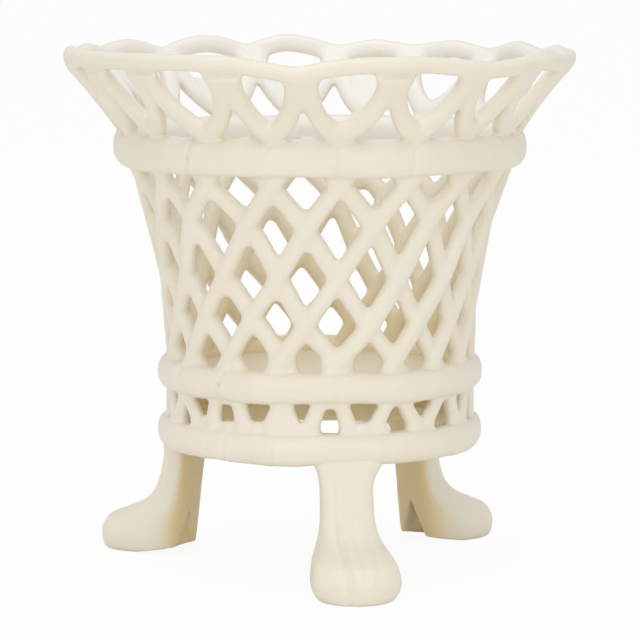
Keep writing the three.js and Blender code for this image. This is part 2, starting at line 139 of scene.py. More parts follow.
# How far the other columns stand from even spacing, judged from what shows through the wall:
# azimuth and shift in degrees
COLUMN_DRIFT = (
    (0, 1.0), (45, 3.8), (90, 1.0), (116, 0.6), (127, 0.4), (137, 0.0), (148, 0.8), (158, 0.3),
    (176, 0.2), (190, 2.4), (197, 4.0), (210, 6.0), (219, 6.2), (235, 5.0), (270, 0.5),
    (313, -2.6), (335, -0.5), (360, 1.0),
)

# The rim zone: how far the loops flare out, and how thick their coil is. Each loop starts as a
# rounded V a little above the band, and two neighbours make a post where they meet.
FLARE_BELL = 1.13
RIM_TUCK = 2.4
HOOP_LAP = 2.3
LOOP_WIDTH = 10.6
LOOP_DEPTH = 8.4
LOOP_SETBACK = 1.3
LOOP_FOOT_RISE = 3.4
LOOP_TOP_LAP = 5
LOOP_ROUNDING = 0.12
LOOP_FULLNESS = 2.6
LOOP_FOOT_SWELL = 0.18
LOOP_HEAD_SWELL = 6.0
POST_WIDTH = 17.0
POST_RADIUS = 132

# The rim loops from the front one round towards +X: the azimuth of each middle, and of the post
# on its left. The photograph shows them in front and by the crests of the far rim.
LOOP_MIDDLES = (
    5.2, 27.2, 45.0, 64, 84, 103.5, 124, 145, 166, 187.5, 210, 234, 254, 272, 290, 307, 327.7, 347,
)
LOOP_POSTS = (
    -4.2, 16.8, 37, 54, 74, 94, 114, 134, 156.5, 176, 197.5, 222, 245, 262.8, 280.6, 298.4, 316.2, 338,
)

# Loops with clay left in the bottom of their opening, and how far it rises. At its top it takes up
# this share of the span between two posts, measured at this radius.
SHALLOW_LOOPS = {8: 12.0, 9: 11.0, 10: 12.0}
FILL_FOOT_WIDTH = 7
FILL_SHARE = 0.75
FILL_RADIUS = 125

# The rim hoop, which is less tall in front, over this many degrees to either side
HOOP_HEIGHT = 10.4
HOOP_DEPTH = 8.6
HOOP_THINNING = 1.6
HOOP_FRONT = 62
HOOP_SEED = 42
HOOP_STRAY = 0.25

# The top of the rim hoop, crest by crest and dip by dip: azimuth and height
RIM_TOP = (
    (-62, 283.0), (-40, 283.4), (-20, 283.2), (-12, 280.2), (-5, 277.6), (2, 281.0), (9, 282.7),
    (24, 282.7), (30, 281.2), (42, 278.9), (52, 280.8), (62, 282.0), (74, 279.2), (84, 282.4),
    (94, 278.6), (103.5, 282.4), (114, 278.2), (124, 282.8), (134, 276.7), (145, 281.6), (156.5, 277.8),
    (166, 281.2), (176, 276.9), (182, 281.6), (188.5, 284.3), (193, 281.8), (198.6, 277.3), (204, 282.4),
    (210, 284.2), (216, 282.0), (222, 276.9), (230, 282.4), (236, 283.4), (245, 279.9), (254, 283.0),
    (263, 279.0), (272, 283.6), (281, 279.6), (290, 283.6),
)

# The zigzag skirt. Past the legs that the photograph shows, its Vs are evenly spaced, with legs
# this many degrees to either side of each V's middle at the lower band and at the base ring.
SKIRT_WIDTH = 8.0
SKIRT_DEPTH = 7.2
SKIRT_RADIUS = 84.2
PLAIN_VEE_COUNT = 12
PLAIN_VEE_STEP = 18.65
PLAIN_VEE_START = 66
LEG_HEAD_TURN = 7.2
LEG_FOOT_TURN = 3.5

# Legs of the zigzag skirt in front, each as its azimuths at the lower band and at the base ring
SEEN_LEGS = (
    (-61.5, -53.8), (-42.7, -44.0), (-32.5, -29.8), (-14.8, -18.2), (-13.2, -10.8), (-0.2, -3.2),
    (7.7, 10.4), (26.5, 21.6), (32.2, 37.4), (52.0, 44.6), (58.4, 61.0), (72.0, 69.0),
)

# Arches between those legs that are rounded by clay, by azimuth
SEEN_ARCHES = (-37.2, 3.8, 29.3, 55.0)

# Clay pressed into single Vs, the first of which fills a whole arch: azimuth, height over the
# base ring, width and half height
SKIRT_FILLS = ((-14, 7, 13.0, 10.0), (-36.5, 1.0, 11.0, 4.8), (24.5, 0.5, 6.0, 5.0))

# Each foot's azimuth round the ring, how far its toes turn from straight out, and how deep the
# hollow in its heel goes
FEET = {
    "foot_front": (9.8, 0.0, 26.0),
    "foot_right_rear": (138.5, -10.0, 11.0),
    "foot_left_rear": (-111.5, -8.0, 1.5),
}

# The line down the front of a leg and over its toes: reach, level and spread as shares
FOOT_LINE = (
    (-0.14, 1.2, 0), (-0.05, 1.1, 0), (-0.02, 1.0, 0), (0.015, 0.86, 0), (0.08, 0.68, 0),
    (0.17, 0.54, 0.06), (0.35, 0.43, 0.26), (0.62, 0.355, 0.54), (0.88, 0.28, 0.82),
    (0.99, 0.19, 0.96), (1, 0.13, 1), (0.99, 0.06, 0.86), (0.95, 0, 0.6),
)

# The legs and paws: how wide and deep a leg is, how far the toes reach and spread, where a paw is
# fullest as a share of its length, the heel, the grooves between the toes, and the heel's hollow
LEG_WIDTH = 28
LEG_DEPTH = 15.0
TOE_REACH = 43.5
TOE_SPREAD = 19
FULLEST = 0.64
HEEL_STEP = 7
HEEL_RISE = 4.5
TOE_GROOVE = 1.9
TOE_GROOVE_DROP = 1.2
HOLLOW_HALF_WIDTH = 12
HOLLOW_HEIGHT = 26


def around(radius, azimuth, height):
    """Points at a radius, an azimuth in degrees from the front towards +X, and a height."""
    angle = np.radians(azimuth)
    radius, angle, height = np.broadcast_arrays(radius, angle, height)
    return np.stack([radius * np.sin(angle), -radius * np.cos(angle), height], axis=-1)


def unit(vectors):
    """Vectors divided by their lengths."""
    return vectors / np.linalg.norm(vectors, axis=-1, keepdims=True)


def bend(value, squareness):
    """The coordinate of a superellipse: the sign of the value times its power 2 over squareness."""
    return np.sign(value) * np.abs(value) ** (2.0 / squareness)


def carry(path, out, width, depth, closed=False):
    """A superellipse section carried along a path. Its depth lies along the way out of the wall,
    made square to the path, and its width across both. An open tube is closed by a point at each
    end. Returns the points and the faces."""
    step = np.roll(path, -1, axis=0) - np.roll(path, 1, axis=0) if closed else np.gradient(path, axis=0)
    along = unit(step)
    out = unit(out - along * np.sum(out * along, axis=1, keepdims=True))
    across = np.cross(out, along)
    angle = np.linspace(0, 2 * np.pi, COIL_SIDES, endpoint=False)
    depths = np.broadcast_to(depth, len(path))[:, None] / 2 * bend(np.cos(angle), COIL_SQUARENESS)
    widths = np.broadcast_to(width, len(path))[:, None] / 2 * bend(np.sin(angle), COIL_SQUARENESS)
    rings = path[:, None] + out[:, None] * depths[..., None] + across[:, None] * widths[..., None]
    return skin(rings, closed)


def skin(rings, closed):
    """Faces between rings of equal count, in quads, with fans to an end point on an open row."""
    count, sides = rings.shape[:2]
    bays = np.arange(count if closed else count - 1)[:, None]
    side = np.arange(sides)[None, :]
    near, far = bays * sides, (bays + 1) % count * sides
    after = (side + 1) % sides
    quads = np.stack([near + side, near + after, far + after, far + side], axis=-1).reshape(-1, 4)
    points = rings.reshape(-1, 3)
    faces = quads.tolist()
    if not closed:
        first, last = len(points), len(points) + 1
        points = np.vstack([points, rings[0].mean(axis=0), rings[-1].mean(axis=0)])
        ring = np.arange(sides)
        after = (ring + 1) % sides
        start = (count - 1) * sides
        faces += np.stack([np.full(sides, first), after, ring], axis=-1).tolist()
        faces += np.stack([np.full(sides, last), start + ring, start + after], axis=-1).tolist()
    return points, faces


def gather(parts):
    """One list of points and one of faces from several closed shapes."""
    points, faces, offset = [], [], 0
    for shape_points, shape_faces in parts:
        points.append(shape_points)
        faces += [[index + offset for index in face] for face in shape_faces]
        offset += len(shape_points)
    return np.vstack(points), faces


def new_piece(name, points, faces):
    """A mesh object at the origin from points in millimetres, smooth and facing outwards."""
    mesh = bpy.data.meshes.new(name)
    mesh.from_pydata((points * MM).tolist(), [], faces)
    mesh.update()
    piece = bpy.data.objects.new(name, mesh)
    bpy.context.scene.collection.objects.link(piece)
    if signed_volume(mesh) < 0:
        mesh.flip_normals()
    mesh.shade_smooth()
    return piece


def triangles_of(mesh):
    """The mesh's triangles as an array of point indices."""
    mesh.calc_loop_triangles()
    corners = np.empty(len(mesh.loop_triangles) * 3, dtype=np.int32)
    mesh.loop_triangles.foreach_get("vertices", corners)
    return corners.reshape(-1, 3)


def points_of(mesh):
    """The mesh's points in metres as an array."""
    points = np.empty(len(mesh.vertices) * 3)
    mesh.vertices.foreach_get("co", points)
    return points.reshape(-1, 3)


def signed_volume(mesh):
    """A sixth of the sum over triangles of the corner product: positive if faces point out."""
    a, b, c = np.moveaxis(points_of(mesh)[triangles_of(mesh)], 1, 0)
    return float(np.sum(a * np.cross(b, c)) / 6)


def settle(piece):
    """The piece's modifiers are worked into its mesh."""
    graph = bpy.context.evaluated_depsgraph_get()
    mesh = bpy.data.meshes.new_from_object(piece.evaluated_get(graph))
    old = piece.data
    piece.modifiers.clear()
    piece.data = mesh
    bpy.data.meshes.remove(old)
    mesh.name = piece.name
    return piece


def fuse(name, parts, grain, passes):
    """Overlapping shapes become one skin with soft inner corners, as wet clay does: a voxel skin
    of the given grain in millimetres, then passes that move each point half way to the mean of
    its neighbours."""
    piece = new_piece(name, *gather(parts))
    remesh = piece.modifiers.new("fuse", "REMESH")
    remesh.mode = "VOXEL"
    remesh.voxel_size = grain * MM
    remesh.use_smooth_shade = True
    smooth = piece.modifiers.new("soften", "SMOOTH")
    smooth.factor = 0.5
    smooth.iterations = passes
    return settle(piece)


def wall_radius(height):
    """Outside radius of the trellis: a power of the height between the two bands."""
    share = np.clip((height - lower_high) / (upper_low - lower_high), 0, None)
    return WALL_FOOT_RADIUS + (WALL_HEAD_RADIUS - WALL_FOOT_RADIUS) * share**WALL_BELL


def flare_radius(height):
    """Outside radius of the loops: a power of the height from the upper band to the rim."""
    share = np.clip((height - upper_high) / (hoop_low + HOOP_LAP - upper_high), 0, None)
    return upper_radius + (rim_radius - RIM_TUCK - upper_radius) * share**FLARE_BELL


def way_out(radius_at, azimuth, height):
    """The outward direction of a surface of revolution, square to its outline."""
    slope = radius_at(height + 0.5) - radius_at(height - 0.5)
    out = around(1.0, azimuth, 0.0)
    out[..., 2] = -slope
    return unit(out)


def uneven(azimuth, seed, size, waves=(3, 5, 8, 13)):
    """A slow unevenness round the pot: sines of whole wave counts with seeded phases."""
    phases = np.random.default_rng(seed).uniform(0, 2 * np.pi, len(waves))
    turns = np.radians(azimuth)
    return size * sum(np.sin(k * turns + p) / (1 + 0.15 * k) for k, p in zip(waves, phases))


def through(knots, samples):
    """A smooth curve through knots, as a Catmull-Rom spline: each stretch is the cubic whose
    slope at a knot is half the step between that knot's neighbours."""
    knots = np.asarray(knots, float)
    padded = np.concatenate([[2 * knots[0] - knots[1]], knots, [2 * knots[-1] - knots[-2]]])
    place = np.linspace(0, len(knots) - 1 - 1e-9, samples)
    i = place.astype(int)
    t = (place - i).reshape((-1,) + (1,) * (knots.ndim - 1))
    a, b, c, d = (padded[i + k] for k in range(4))
    slope, curve = c - a, 2 * a - 5 * b + 4 * c - d
    return 0.5 * (2 * b + slope * t + curve * t**2 + (3 * b - a - 3 * c + d) * t**3)


def turn_from(azimuth, place):
    """Signed turn in degrees from a place to an azimuth, between -180 and 180."""
    return (azimuth - place + 540) % 360 - 180


def band_surface(low, high, radius, seams, seed):
    """A band as a function of azimuth and section angle: a superellipse carried round, whose
    size swells and sinks a little, with a groove at each joint between its lengths. A groove's
    depth falls off round the band as the exponential of minus the squared distance."""
    azimuth = np.linspace(0, 360, 720, endpoint=False)[:, None]
    angle = np.linspace(0, 2 * np.pi, 56, endpoint=False)[None, :]
    swell = uneven(azimuth, seed, BAND_STRAY, BAND_WAVES)
    lift = uneven(azimuth, seed + 1, BAND_STRAY, BAND_WAVES)
    groove = 0
    for place, depth, slant in seams:
        aside = turn_from(azimuth, place + SEAM_SLANT * np.sin(angle) * slant)
        groove = groove + depth * np.exp(-((aside * radius / DEGREES_PER_RADIAN / SEAM_WIDTH) ** 2))
    half_out = BAND_THICKNESS / 2 + swell - groove
    half_up = (high - low) / 2 + 0.5 * swell - 0.6 * groove
    out = half_out * bend(np.cos(angle), BAND_SQUARENESS)
    up = half_up * bend(np.sin(angle), BAND_SQUARENESS)
    centre = radius - BAND_THICKNESS / 2
    rings = around(centre + out, azimuth, (low + high) / 2 + lift + up)
    return skin(rings, True)


def band_core(low, high, radius, upper_half, seed, reach=(0, 360)):
    """The half of a band that strands or feet end on, just under its surface, so that their clay
    runs onto it: a closed ring, or the stretch of it between two azimuths."""
    whole = reach[1] - reach[0] == 360
    azimuth = np.linspace(*reach, 240 if whole else 40, endpoint=not whole)[:, None]
    start = 0 if upper_half else np.pi
    angle = np.linspace(start, start + np.pi, 22)[None, :]
    swell = uneven(azimuth, seed, BAND_STRAY, BAND_WAVES)
    lift = uneven(azimuth, seed + 1, BAND_STRAY, BAND_WAVES)
    out = (BAND_THICKNESS / 2 - CORE_SIDE_INSET + swell) * bend(np.cos(angle), BAND_SQUARENESS)
    up = ((high - low) / 2 - CORE_TOP_INSET + 0.5 * swell) * bend(np.sin(angle), BAND_SQUARENESS)
    rings = around(radius - BAND_THICKNESS / 2 + out, azimuth, (low + high) / 2 + lift + up)
    return skin(rings, whole)


def crossings():
    """Azimuth shift from even spacing, height and web of every crossing, by row and column: as
    measured where seen, and a little out of true elsewhere."""
    places, drift = np.transpose(COLUMN_DRIFT)
    columns = (FIRST_LOOP + COLUMN_STEP * np.arange(COLUMN_COUNT)) % 360
    grid = (len(CROSSING_LEVELS), COLUMN_COUNT)
    shift = np.interp(columns, places, drift) + random.uniform(-TURN_STRAY, TURN_STRAY, grid)
    height = np.array(CROSSING_LEVELS)[:, None] + random.uniform(-LEVEL_STRAY, LEVEL_STRAY, grid)
    web = np.array(CROSSING_WEBS)[:, None] + random.uniform(-1.5, 2.0, grid)
    for row, azimuth, level, half in SEEN_CROSSINGS:
        odd = row % 2
        column = 2 * round(((azimuth - FIRST_LOOP) / COLUMN_STEP - odd) / 2) + odd
        spot = row, column % COLUMN_COUNT
        shift[spot] = azimuth - FIRST_LOOP - COLUMN_STEP * column
        height[spot] = level
        web[spot] = half
    return shift, height, web


def trellis():
    """Strands of both layers, carried through shared crossings, with a web at each crossing that
    fills the narrow corners as pressed clay does."""
    shift, level, web = crossings()
    rows = np.arange(len(CROSSING_LEVELS))
    along = np.linspace(0, 1, STRAND_STEPS)
    parts = []
    for layer in (1, -1):
        for strand in range(STRAND_COUNT):
            column = 2 * strand + layer * rows
            turns = FIRST_LOOP + COLUMN_STEP * column + shift[rows, column % COLUMN_COUNT]
            levels = level[rows, column % COLUMN_COUNT]
            turns = np.concatenate([[turns[0] - layer * FOOT_RUN], turns, [turns[-1] + layer * HEAD_RUN]])
            levels = np.concatenate([[lower_high - STRAND_LAP], levels, [upper_low + STRAND_LAP]])
            azimuth, height = through(np.stack([turns, levels], axis=1), STRAND_STEPS).T
            radius = wall_radius(height) - STRAND_DEPTH / 2 - LAYER_STEP + layer * LAYER_STEP
            phase = random.uniform(0, 2 * np.pi, 2)
            width = STRAND_WIDTH + 0.5 * np.sin(9 * along + phase[0]) + random.uniform(-0.5, 0.4)
            depth = STRAND_DEPTH + 0.3 * np.sin(7 * along + phase[1])
            out = way_out(wall_radius, azimuth, height)
            parts.append(carry(around(radius, azimuth, height), out, width, depth))
    for row in rows:
        for column in range(row % 2, COLUMN_COUNT, 2):
            azimuth = FIRST_LOOP + COLUMN_STEP * column + shift[row, column]
            width = WIDE_WEBS.get(column, WEB_WIDTH) if row == 0 else WEB_WIDTH
            parts.append(web_at(azimuth, level[row, column], web[row, column], width))
    return parts


def web_at(azimuth, height, half, width):
    """An upright lens of clay at a crossing: its width and depth follow the root of one minus the
    square of the share of its half height."""
    share = np.linspace(-1, 1, 25)[1:-1]
    heights = height + half * share
    full = np.sqrt(1 - share**2)
    path = around(wall_radius(heights) - STRAND_DEPTH / 2 - LAYER_STEP, azimuth, heights)
    out = way_out(wall_radius, np.full(len(heights), azimuth), heights)
    return carry(path, out, width * full, (STRAND_DEPTH - 0.6) * full**0.5)


def loops():
    """The loops of the rim zone. From the band each half rises as a rounded V and swings out
    quickly, by one minus a power of the share left, until it stands beside the next loop."""
    parts = []
    middles = np.array(LOOP_MIDDLES)
    posts = np.append(LOOP_POSTS, LOOP_POSTS[0] + 360)
    inset = math.degrees((POST_WIDTH - LOOP_WIDTH) / 2 / POST_RADIUS)
    side = np.linspace(-1, 1, 72)
    vee = np.hypot(side, LOOP_ROUNDING) - LOOP_ROUNDING
    vee = vee / (math.hypot(1, LOOP_ROUNDING) - LOOP_ROUNDING)
    foot_swell = LOOP_FOOT_SWELL * np.exp(-((side / 0.25) ** 2))
    head_swell = LOOP_HEAD_SWELL * np.clip((np.abs(side) - 0.72) / 0.28, 0, 1) ** 2
    for loop in range(len(LOOP_MIDDLES)):
        bottom = upper_high + LOOP_FOOT_RISE + random.uniform(-0.7, 0.7)
        height = bottom + (hoop_low + LOOP_TOP_LAP - bottom) * vee
        to_left = middles[loop] - posts[loop] - inset
        to_right = posts[loop + 1] - middles[loop] - inset
        reach = np.where(side < 0, to_left, to_right)
        fullness = LOOP_FULLNESS + random.uniform(-0.2, 0.2)
        azimuth = middles[loop] + reach * np.sign(side) * (1 - (1 - np.abs(side)) ** fullness)
        path = around(flare_radius(height) - LOOP_DEPTH / 2 * LOOP_SETBACK, azimuth, height)
        width = LOOP_WIDTH * (1 + foot_swell) + 0.5 * np.sin(5 * side + loop) + head_swell
        parts.append(carry(path, way_out(flare_radius, azimuth, height), width, LOOP_DEPTH))
    for loop, rise in SHALLOW_LOOPS.items():
        span = (posts[loop + 1] - posts[loop]) / DEGREES_PER_RADIAN * FILL_RADIUS
        width = np.linspace(FILL_FOOT_WIDTH, FILL_SHARE * span, 9)
        parts.append(fill_at(middles[loop], upper_high + 5, upper_high + 8 + rise, width))
    return parts


def fill_at(azimuth, low, high, width):
    """Clay that fills the rim zone at an azimuth between two levels, of a width given from the
    lower level to the upper."""
    height = np.linspace(low, high, len(width))
    turn = np.full(len(width), float(azimuth))
    path = around(flare_radius(height) - LOOP_DEPTH / 2 * LOOP_SETBACK, turn, height)
    return carry(path, way_out(flare_radius, turn, height), width, LOOP_DEPTH - 0.6)


def hoop():
    """The rim hoop. Its top follows the rim's crests and dips in straight stretches, smoothed by a
    running mean over five degrees. In front it is less tall, by the exponential of minus the
    fourth power of the azimuth."""
    azimuth = np.linspace(0, 360, 900, endpoint=False)
    places, tops = np.transpose(RIM_TOP)
    front = np.exp(-((turn_from(azimuth, 0) / HOOP_FRONT) ** 4))
    tall = HOOP_HEIGHT - HOOP_THINNING * front
    height = np.interp(azimuth, places, tops, period=360) - tall / 2
    reach = 6
    height = sum(np.roll(height, step) for step in range(-reach, reach + 1)) / (2 * reach + 1)
    radius = rim_radius - HOOP_DEPTH / 2 + uneven(azimuth, HOOP_SEED, HOOP_STRAY) - 0.3
    path = around(radius, azimuth, height)
    out = around(1.0, azimuth, -0.25)
    return carry(path, out, tall, HOOP_DEPTH, closed=True)


def skirt():
    """The zigzag under the wall: legs between the lower band and the base ring, in pairs that
    close to a V on the base ring. Each leans only above the V and grows wider as it comes down.
    A lump of clay rounds each arch at its top. One arch in front is filled with clay."""
    vees = PLAIN_VEE_START + PLAIN_VEE_STEP * np.arange(1, PLAIN_VEE_COUNT + 1)
    vees = vees + random.uniform(-0.8, 0.8, PLAIN_VEE_COUNT)
    legs = list(SEEN_LEGS)
    legs += [(v + side * LEG_HEAD_TURN, v + side * LEG_FOOT_TURN) for v in vees for side in (-1, 1)]
    feet = [(a[1] + b[1]) / 2 for a, b in zip(SEEN_LEGS[::2], SEEN_LEGS[1::2])] + list(vees)
    arches = list(SEEN_ARCHES) + list((vees[1:] + vees[:-1]) / 2)
    parts = []
    for head, foot_turn in legs:
        height = np.linspace(lower_low + 4, base_high - 4, 22)
        share = np.clip((lower_low + 1.5 - height) / (lower_low - base_high - 3.5), 0, 1)
        azimuth = head + (foot_turn - head) * share
        path = around(SKIRT_RADIUS - SKIRT_DEPTH / 2, azimuth, height)
        width = SKIRT_WIDTH + random.uniform(-0.4, 0.4) + 1.8 * share
        parts.append(carry(path, around(1.0, azimuth, 0.0), width, SKIRT_DEPTH))
    for spot in feet:
        parts.append(lump(spot, base_high + 1.1, 9.0, 6.0))
    for spot in arches:
        parts.append(lump(spot, lower_low + 0.5, 8.0, 3.2))
    for spot, rise, width, half in SKIRT_FILLS:
        parts.append(lump(spot, base_high + rise, width, half))
    return parts


def lump(azimuth, height, width, half):
    """A lens of clay on the skirt, as wide as given and reaching a half height up and down."""
    share = np.linspace(-1, 1, 15)[1:-1]
    full = np.sqrt(1 - share**2)
    turn = np.full(len(share), float(azimuth))
    path = around(SKIRT_RADIUS - SKIRT_DEPTH / 2, turn, height + half * share)
    return carry(path, around(1.0, turn, 0.0), width * full, (SKIRT_DEPTH - 0.4) * full**0.4)


def foot_shape():
    """A paw foot for azimuth 0, as level slices down the line of its front. Each slice is rounded
    in front, square at the heel and widest nearer the toes. Grooves part the toes."""
    line = through(FOOT_LINE, 140)
    reach, level, spread = line[:, 0:1], np.clip(line[:, 1:2], 0, None), line[:, 2:3]
    angle = np.linspace(0, 2 * np.pi, 200, endpoint=False)[None, :]
    front = base_radius + reach * TOE_REACH
    back = base_radius - LEG_DEPTH + HEEL_STEP * np.clip(1 - level / 0.8, 0, None)
    half = (LEG_WIDTH + TOE_SPREAD * spread) / 2
    is_front = np.cos(angle) > 0
    squareness = np.where(is_front, 3 - 0.7 * spread, 4.0)
    ahead = bend(np.cos(angle), squareness)
    across = bend(np.sin(angle), squareness)
    taper = 1 - spread * np.where(is_front, 0.36, 0.2) * ahead**2
    flare = np.clip((level - 0.8) / 0.2, 0, 1) ** 2
    lip = np.where(across > 0, 5.0, -2.5) * np.abs(across) * flare
    sideways = across * half * taper + lip
    middle = back + (front - back) * (0.5 + (FULLEST - 0.5) * spread)
    out = middle + ahead * np.where(is_front, front - middle, middle - back)
    lean = 0.5 * spread * (out - base_radius) / TOE_REACH
    deep = np.exp(-(((sideways + 6.3 - lean) / 1.3) ** 2))
    faint = 0.18 * np.exp(-(((sideways - 2.0) / 1.5) ** 2))
    faint = faint + 0.22 * np.exp(-(((sideways - 9.5) / 1.5) ** 2))
    on_front = np.where(is_front, np.clip(ahead * 2.2, 0, 1), 0)
    on_toes = np.clip(0.25 + (reach - 0.02) * 4, 0, 1) * on_front
    out = out - TOE_GROOVE * (deep + faint) * on_toes
    height = np.broadcast_to(level * base_low, out.shape)
    height = height - TOE_GROOVE_DROP * (deep + faint) * on_toes * (level > 0.03)
    heel = np.clip((base_radius + 14 - out) / 29, 0, 1)
    height = np.maximum(height, HEEL_RISE * heel * (level < 0.3))
    rings = np.stack([sideways, -out, height], axis=-1)
    return skin(rings, False)


def foot_hollow(depth):
    """The pointed hollow behind and under a foot: a triangle that shrinks towards the toes."""
    heel = base_radius - LEG_DEPTH + HEEL_STEP
    rings = []
    for out, share in ((heel - 12, 1.0), (heel + depth / 2, 0.9), (heel + depth, 0.4)):
        half = HOLLOW_HALF_WIDTH * math.sqrt(share)
        rings.append([(-half, -out, -1), (half, -out, -1), (0, -out, HOLLOW_HEIGHT * share)])
    return skin(np.array(rings), False)


def turned(shape, azimuth):
    """The points of a shape turned about the pot's axis."""
    points, faces = shape
    cos, sin = math.cos(math.radians(azimuth)), math.sin(math.radians(azimuth))
    turn = np.array([[cos, -sin, 0], [sin, cos, 0], [0, 0, 1]])
    return points @ turn.T, faces


def foot(name, azimuth, turn, depth):
    """A paw foot in its place, with the hollow cut out of it, its edges softened and its top run
    onto the base ring. The foot is turned about the middle of its leg, and then carried round."""
    leg = np.array([0.0, LEG_DEPTH / 2 - base_radius, 0.0])
    shapes = []
    for points, faces in (foot_shape(), foot_hollow(depth)):
        points, faces = turned((points.reshape(-1, 3) - leg, faces), turn)
        shapes.append(turned((points + leg, faces), azimuth))
    solid = new_piece(name + "_solid", *shapes[0])
    hollow = new_piece(name + "_hollow", *shapes[1])
    cut = solid.modifiers.new("hollow", "BOOLEAN")
    cut.operation = "DIFFERENCE"
    cut.object = hollow
    cut.solver = "EXACT"
    settle(solid)
    paw = points_of(solid.data) / MM, [list(face.vertices) for face in solid.data.polygons]
    reach = azimuth - 15, azimuth + 15
    ring = band_core(base_low, base_high, base_radius, False, BASE_SEED, reach)
    bpy.data.objects.remove(hollow)
    bpy.data.objects.remove(solid)
    return fuse(name + "_paw", [paw, ring], grain=0.9, passes=7)


def floor():
    """The floor: a disc with softened edges, its outline turned about the axis, that runs into the
    inside of the lower band."""
    radius = lower_radius - BAND_THICKNESS + FLOOR_LAP
    outline = np.array([
        (0.0, floor_low), (radius - 1, floor_low), (radius, floor_low + 1),
        (radius, floor_high - 1), (radius - 1, floor_high), (0.0, floor_high),
    ])
    azimuth = np.linspace(0, 360, 240, endpoint=False)
    rings = around(np.maximum(outline[:, 0], 0.01)[:, None], azimuth[None, :], outline[:, 1][:, None])
    return skin(rings, False)


def linear(hex_colour):
    """An sRGB hex colour as linear RGBA: each channel by the sRGB transfer curve."""
    channels = [int(hex_colour[i:i + 2], 16) / 255 for i in (1, 3, 5)]
    return [c / 12.92 if c <= 0.04045 else ((c + 0.055) / 1.055) ** 2.4 for c in channels] + [1.0]


def add_node(tree, kind, settings=None, links=None):
    """A node of a kind with its input values and the sockets that feed its inputs."""
    node = tree.nodes.new(kind)
    for key, value in (settings or {}).items():
        if isinstance(key, int) or key in node.inputs:
            node.inputs[key].default_value = value
        else:
            setattr(node, key, value)
    for key, source in (links or {}).items():
        tree.links.new(source, node.inputs[key])
    return node


# Cream glaze over earthenware, dipped and fired. It is pale on open faces. Low inside and in
# hollows it is tinted warm, which is painted shade, and inside the rim it is palest, which is a
# painted highlight. It has a soft gloss, a faint unevenness from the fingers that worked the clay,
# and a few iron specks.
OPEN_GLAZE = "#EEE8DA"
FULL_GLAZE = "#E8E0CC"
# The warm inside tone is painted shade on faces turned to the axis low in the pot.
INSIDE_PAINTED_SHADE = "#EAD5A0"
# The palest tone is a painted highlight on faces turned to the axis inside the rim.
RIM_PAINTED_HIGHLIGHT = "#F2F0EA"
# The warm dark tone in recesses is painted shade, mixed in by ambient occlusion.
RECESS_PAINTED_SHADE = "#DDB672"
IRON_SPECK = "#6E5138"
GLAZE_ROUGHNESS = 0.36
GLAZE_IOR = 1.5
CLOUD_SIZE = 30
# How far ambient occlusion looks for clay that casts painted shade into a recess.
PAINTED_SHADE_REACH = 25
SPECK_SPACING = 16
FINGER_SPACING = 11
FINGER_DEPTH = 1.2


def cream_glaze():
    """The glaze: a cloudy tone, then painted shade low inside, a painted highlight inside the rim,
    painted shade in hollows and the specks over it, each mixed in by its own share, with a bump
    from a noise of finger width."""
    material = bpy.data.materials.new("cream_glaze_on_earthenware")
    material.use_nodes = True
    tree = material.node_tree
    shader = tree.nodes["Principled BSDF"]
    place = add_node(tree, "ShaderNodeTexCoord").outputs["Object"]
    cloud = add_node(tree, "ShaderNodeTexNoise",
                     {"Scale": 1 / (CLOUD_SIZE * MM), "Detail": 3.0}, {"Vector": place})
    open_face = blend(tree, OPEN_GLAZE, FULL_GLAZE, cloud.outputs["Fac"])
    # Painted shade: faces turned to the axis low in the pot are tinted warm.
    inside = blend(tree, open_face, INSIDE_PAINTED_SHADE, facing_in(tree, place, 210, 60))
    # Painted highlight: faces turned to the axis inside the rim are tinted nearly white.
    inside = blend(tree, inside, RIM_PAINTED_HIGHLIGHT, facing_in(tree, place, 205, 225))
    # Painted shade: recesses that ambient occlusion finds are tinted warm and darker.
    openness = add_node(tree, "ShaderNodeAmbientOcclusion",
                        {"Distance": PAINTED_SHADE_REACH * MM, "samples": 6, "only_local": True})
    hollow = add_node(tree, "ShaderNodeMapRange", {"From Min": 0.6, "From Max": 0.1, "To Max": 0.6},
                      {"Value": openness.outputs["AO"]})
    with_recess_shade = blend(tree, inside, RECESS_PAINTED_SHADE, hollow.outputs["Result"])
    specks = add_node(tree, "ShaderNodeTexVoronoi", {"Scale": 1 / (SPECK_SPACING * MM)}, {"Vector": place})
    is_speck = add_node(tree, "ShaderNodeMath", {"operation": "GREATER_THAN", 1: 0.93},
                        {0: specks.outputs["Color"]})
    dot = add_node(tree, "ShaderNodeMapRange", {"From Min": 0.065, "From Max": 0.03, "To Max": 0.75},
                   {"Value": specks.outputs["Distance"]})
    iron = add_node(tree, "ShaderNodeMath", {"operation": "MULTIPLY"},
                    {0: is_speck.outputs[0], 1: dot.outputs["Result"]})
    tree.links.new(blend(tree, with_recess_shade, IRON_SPECK, iron.outputs[0]), shader.inputs["Base Color"])
    worked = add_node(tree, "ShaderNodeTexNoise",
                      {"Scale": 1 / (FINGER_SPACING * MM), "Detail": 2.0}, {"Vector": place})
    relief = add_node(tree, "ShaderNodeBump", {"Strength": 0.5, "Distance": FINGER_DEPTH * MM},
                      {"Height": worked.outputs["Fac"]})
    tree.links.new(relief.outputs["Normal"], shader.inputs["Normal"])
    shader.inputs["Roughness"].default_value = GLAZE_ROUGHNESS
    shader.inputs["IOR"].default_value = GLAZE_IOR
    return material


